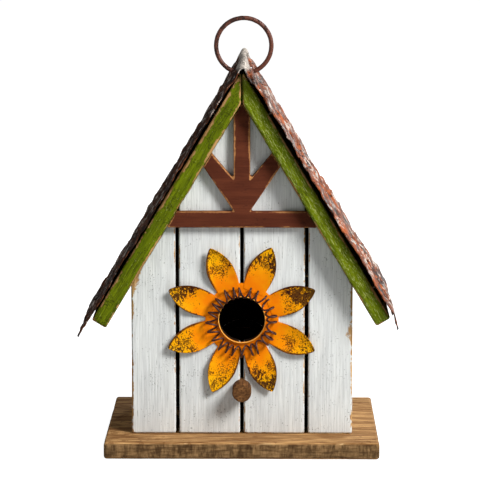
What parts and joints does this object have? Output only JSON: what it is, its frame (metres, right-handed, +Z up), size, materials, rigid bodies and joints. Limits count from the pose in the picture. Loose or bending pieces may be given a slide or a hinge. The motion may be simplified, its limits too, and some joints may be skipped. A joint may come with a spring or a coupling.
{
  "type": "birdhouse",
  "caption": "Decorative hanging birdhouse: steep tin roof on green boards, white plank front, metal flower round the entrance hole, perch, wire ring and swivel clean-out cover.",
  "frame": {"origin": "centre of the base board's underside", "axes": "+Z up, +X to the right seen from the front, -Y out of the plank front with the entrance"},
  "size_m": [0.2266, 0.15, 0.3049],
  "materials": {
    "base_wood": "oiled brown pine with sanded pale edges",
    "whitewashed_wood": "white paint rubbed thin over grain, tan worn edges",
    "bare_wood": "bare sawn pine",
    "green_wood": "leaf green paint, scratched, with tan sanded edges",
    "rusty_tin": "crimped tin sheet, rust brown and orange over grey",
    "brown_painted_wood": "red-brown paint with sanded edges",
    "stained_dowel": "dark stained dowel, rough end grain",
    "flower_tin": "orange to yellow enamel with rust speckles",
    "rusty_wire": "brown rusted wire",
    "bright_steel": "plain bright nails",
    "zinc_steel": "zinc plated screws"
  },
  "bodies": {
    "house": {"base_board": "base_wood", "front_plank_left_outer": "whitewashed_wood", "front_plank_left_inner": "whitewashed_wood", "front_plank_right_inner": "whitewashed_wood", "front_plank_right_outer": "whitewashed_wood", "batten_lower": "bare_wood", "batten_upper": "bare_wood", "side_wall_left": "whitewashed_wood", "side_wall_right": "whitewashed_wood", "back_wall": "whitewashed_wood", "roof_board_left": "green_wood", "roof_board_right": "green_wood", "roof_sheet": "rusty_tin", "gable_trim": "brown_painted_wood", "perch": "stained_dowel", "flower": "flower_tin", "wire_coil": "rusty_wire", "pivot_screw": "zinc_steel", "batten_brads": "bright_steel", "trim_pins": "bright_steel", "batten_end_nails": "bright_steel", "back_wall_nails": "bright_steel", "roof_board_nails": "bright_steel", "roof_sheet_tacks": "rusty_tin", "flower_tacks": "bright_steel", "base_screws": "zinc_steel"},
    "ring": {"hanging_ring": "rusty_wire"},
    "cover": {"cleanout_cover": "whitewashed_wood"}
  },
  "joints": [
    {"name": "ring_swing", "type": "hinge", "parent": "house", "child": "ring", "pos_m": [0, 0, 0.26514], "axis": [1, 0, 0], "range_deg": [-68, 68]},
    {"name": "cover_swing", "type": "hinge", "parent": "house", "child": "cover", "pos_m": [0, 0.0473, 0.092], "axis": [0, 1, 0], "continuous": true}
  ]
}
